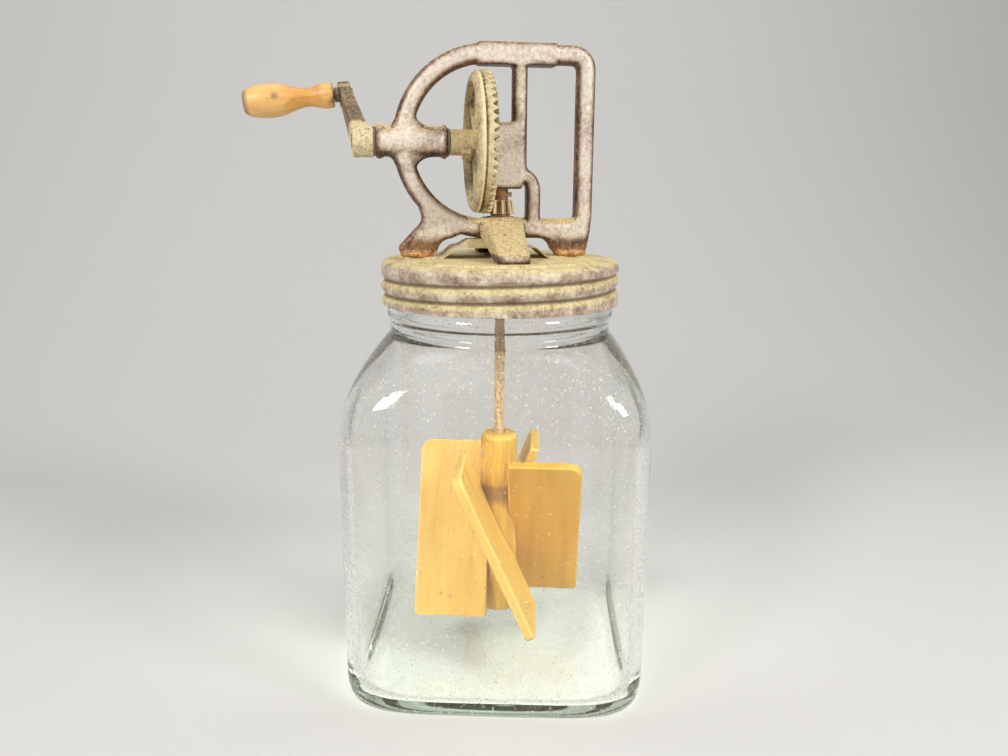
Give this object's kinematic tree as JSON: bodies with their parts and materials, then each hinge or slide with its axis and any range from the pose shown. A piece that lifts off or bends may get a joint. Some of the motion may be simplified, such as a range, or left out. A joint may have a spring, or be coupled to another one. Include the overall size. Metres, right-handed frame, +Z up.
{
  "type": "glass jar butter churn",
  "caption": "Square glass jar churn with a threaded lid, cast gear frame and wooden-handled side crank that spins a bladed wooden dasher inside the jar.",
  "frame": {"origin": "middle of the jar's flat base, on the dasher rod's axis", "axes": "+Z up along the dasher rod, -X along the crank shaft towards the handle, -Y towards the front of the gear frame"},
  "size_m": [0.2535, 0.1986, 0.3832],
  "materials": {
    "glass": "clear pressed glass with a faint green cast, dusty and lightly scratched",
    "gasket": "old red-brown rubber",
    "lid_sheet": "aged plated sheet steel, dull, tan with brown worn beads",
    "casting": "aged grey-brown casting with dust and rust",
    "gear_iron": "dry tan-brown casting",
    "steel": "tarnished steel",
    "rusty_steel": "rust-brown steel",
    "grip_wood": "honey-orange turned wood, worn satin",
    "hub_wood": "orange-yellow turned wood, worn",
    "blade_wood": "golden-yellow boards, worn pale"
  },
  "bodies": {
    "jar": {"glass_jar": "glass"},
    "seal": {"lid_gasket": "gasket"},
    "lid": {"screw_lid": "lid_sheet", "drip_plate": "lid_sheet", "cast_frame": "casting", "frame_screws": "steel", "screw_washers": "steel", "lid_ferrule": "steel", "rod_washer": "steel"},
    "crank": {"crank_shaft": "steel", "crank_arm": "casting", "arm_pin": "steel", "thrust_washers": "steel", "drive_gear": "gear_iron", "gear_screw": "rusty_steel", "handle_spindle": "steel", "grip_washer": "steel"},
    "grip": {"handle_grip": "grip_wood"},
    "dasher": {"pinion": "gear_iron", "pinion_pin": "steel", "dasher_rod": "rusty_steel", "dasher_hub": "hub_wood", "hub_pin": "steel", "dasher_blade_front": "blade_wood", "dasher_blade_right": "blade_wood", "dasher_blade_rear": "blade_wood", "dasher_blade_left": "blade_wood"}
  },
  "joints": [
    {"name": "lid_lift", "type": "slide", "parent": "jar", "child": "seal", "axis": [0, 0, 1], "range_m": [0, 0.01125]},
    {"name": "lid_turn", "type": "hinge", "parent": "seal", "child": "lid", "pos_m": [0, 0, 0.2594], "axis": [0, 0, 1], "range_deg": [0, 450]},
    {"name": "crank_turn", "type": "hinge", "parent": "lid", "child": "crank", "pos_m": [-0.05, 0, 0.3275], "axis": [1, 0, 0], "continuous": true},
    {"name": "grip_spin", "type": "hinge", "parent": "crank", "child": "grip", "pos_m": [-0.0947, 0.06059, 0.35837], "axis": [0.9945, 0, 0.1045], "continuous": true},
    {"name": "dasher_spin", "type": "hinge", "parent": "lid", "child": "dasher", "pos_m": [0, 0, 0.28], "axis": [0, 0, 1], "continuous": true}
  ],
  "couplings": [
    {"joint": "lid_lift", "follows": "lid_turn", "m_per_rad": 0.0014324},
    {"joint": "dasher_spin", "follows": "crank_turn", "ratio": -5}
  ]
}
